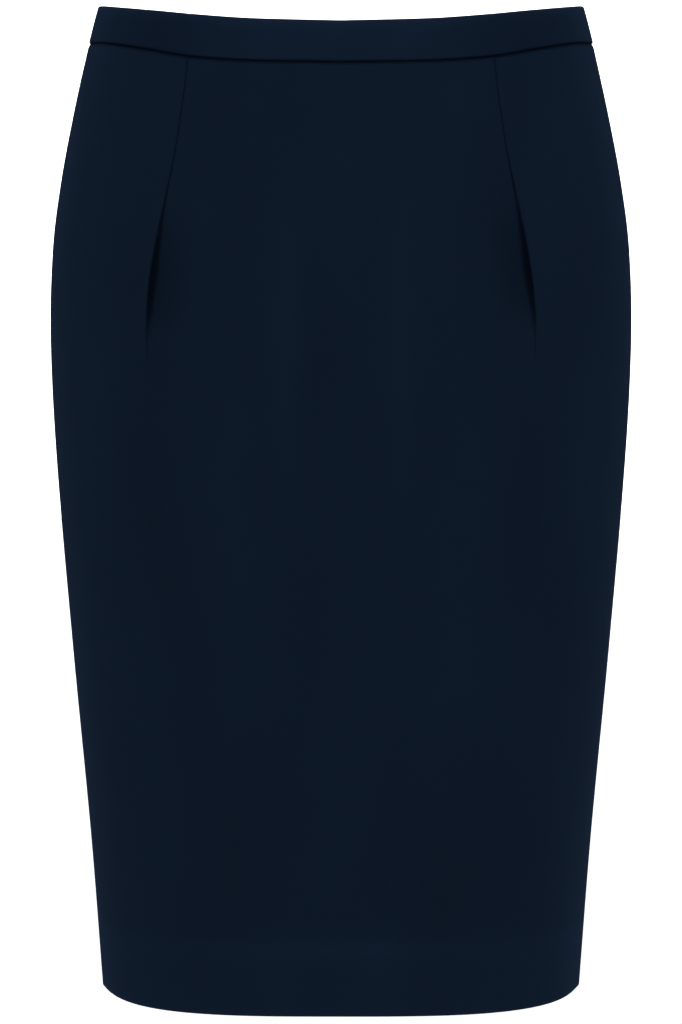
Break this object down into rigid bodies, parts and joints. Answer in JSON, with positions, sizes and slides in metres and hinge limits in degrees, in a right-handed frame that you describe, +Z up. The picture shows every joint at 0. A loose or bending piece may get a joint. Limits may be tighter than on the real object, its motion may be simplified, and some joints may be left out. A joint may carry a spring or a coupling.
{
  "type": "pencil skirt",
  "caption": "Knee-length pencil skirt filled out as worn, with released front darts, a narrow waistband, a concealed back zip and a back vent.",
  "frame": {"origin": "middle of the waist opening, at the waistband's mean mid-height, where a wearer's waist holds it", "axes": "+Z up, the front faces -Y, +X towards the wearer's left"},
  "size_m": [0.3614, 0.251, 0.612],
  "materials": {
    "cloth": "smooth navy suiting with a soft sheen",
    "zip_tape": "woven polyester tape",
    "zip_metal": "navy enamel"
  },
  "bodies": {
    "skirt": {"front_panel": "cloth", "back_panel_left": "cloth", "back_panel_right": "cloth", "waistband_front": "cloth", "waistband_back_left": "cloth", "waistband_back_right": "cloth", "zip_tape_left": "zip_tape", "zip_tape_right": "zip_tape", "zip_slider": "zip_metal"},
    "pull_tab": {"zip_pull_tab": "zip_metal"}
  },
  "joints": [
    {"name": "pull_tab_hinge", "type": "hinge", "parent": "skirt", "child": "pull_tab", "pos_m": [0, 0.10286, 0.00198], "axis": [1, 0, 0], "range_deg": [0, 160]}
  ]
}
